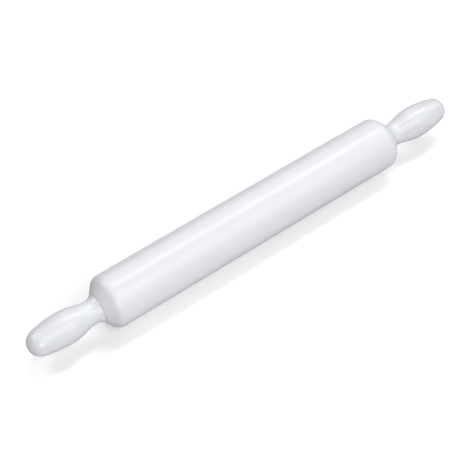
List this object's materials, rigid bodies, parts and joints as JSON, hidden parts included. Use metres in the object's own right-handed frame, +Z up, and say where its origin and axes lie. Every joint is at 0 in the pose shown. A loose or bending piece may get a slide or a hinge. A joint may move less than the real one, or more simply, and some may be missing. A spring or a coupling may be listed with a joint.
{
  "type": "rolling pin",
  "caption": "White plastic rolling pin: a smooth roller with sloping shoulders turns on sealed ball bearings about a steel axle that has a rounded handle screwed on at each end.",
  "frame": {"origin": "on the surface that the pin rests on, under the middle of the roller", "axes": "+X along the axle, toward the handle that points away in the picture; +Z up"},
  "size_m": [0.5692, 0.06, 0.06],
  "materials": {
    "roller_plastic": "satin turned polyethylene, faintly translucent",
    "handle_plastic": "satin polyethylene, smooth",
    "axle_steel": "turned stainless",
    "spacer_steel": "turned stainless",
    "nut_steel": "stainless",
    "insert_brass": "knurled",
    "race_steel": "ground bearing steel",
    "ball_steel": "polished bearing steel",
    "cage_plastic": "moulded polyamide",
    "seal_rubber": "matte nitrile"
  },
  "bodies": {
    "axle_and_handles": {"axle": "axle_steel", "handle_left": "handle_plastic", "threaded_insert_left": "insert_brass", "lock_nut_left": "nut_steel", "spacer_left": "spacer_steel", "bearing_inner_ring_left": "race_steel", "handle_right": "handle_plastic", "threaded_insert_right": "insert_brass", "lock_nut_right": "nut_steel", "spacer_right": "spacer_steel", "bearing_inner_ring_right": "race_steel"},
    "roller_body": {"roller": "roller_plastic", "bearing_outer_ring_left": "race_steel", "bearing_seal_outer_left": "seal_rubber", "bearing_seal_inner_left": "seal_rubber", "bearing_outer_ring_right": "race_steel", "bearing_seal_outer_right": "seal_rubber", "bearing_seal_inner_right": "seal_rubber"},
    "cage_left": {"bearing_cage_left": "cage_plastic", "bearing_ball_left_1": "ball_steel", "bearing_ball_left_2": "ball_steel", "bearing_ball_left_3": "ball_steel", "bearing_ball_left_4": "ball_steel", "bearing_ball_left_5": "ball_steel", "bearing_ball_left_6": "ball_steel", "bearing_ball_left_7": "ball_steel"},
    "cage_right": {"bearing_cage_right": "cage_plastic", "bearing_ball_right_1": "ball_steel", "bearing_ball_right_2": "ball_steel", "bearing_ball_right_3": "ball_steel", "bearing_ball_right_4": "ball_steel", "bearing_ball_right_5": "ball_steel", "bearing_ball_right_6": "ball_steel", "bearing_ball_right_7": "ball_steel"}
  },
  "joints": [
    {"name": "roller_spin", "type": "hinge", "parent": "axle_and_handles", "child": "roller_body", "pos_m": [0, 0, 0.03], "axis": [1, 0, 0], "continuous": true},
    {"name": "cage_left_spin", "type": "hinge", "parent": "axle_and_handles", "child": "cage_left", "pos_m": [-0.1935, 0, 0.03], "axis": [1, 0, 0], "continuous": true},
    {"name": "cage_right_spin", "type": "hinge", "parent": "axle_and_handles", "child": "cage_right", "pos_m": [0.1935, 0, 0.03], "axis": [1, 0, 0], "continuous": true}
  ],
  "couplings": [
    {"joint": "cage_left_spin", "follows": "roller_spin", "ratio": 0.63222},
    {"joint": "cage_right_spin", "follows": "roller_spin", "ratio": 0.63222}
  ]
}
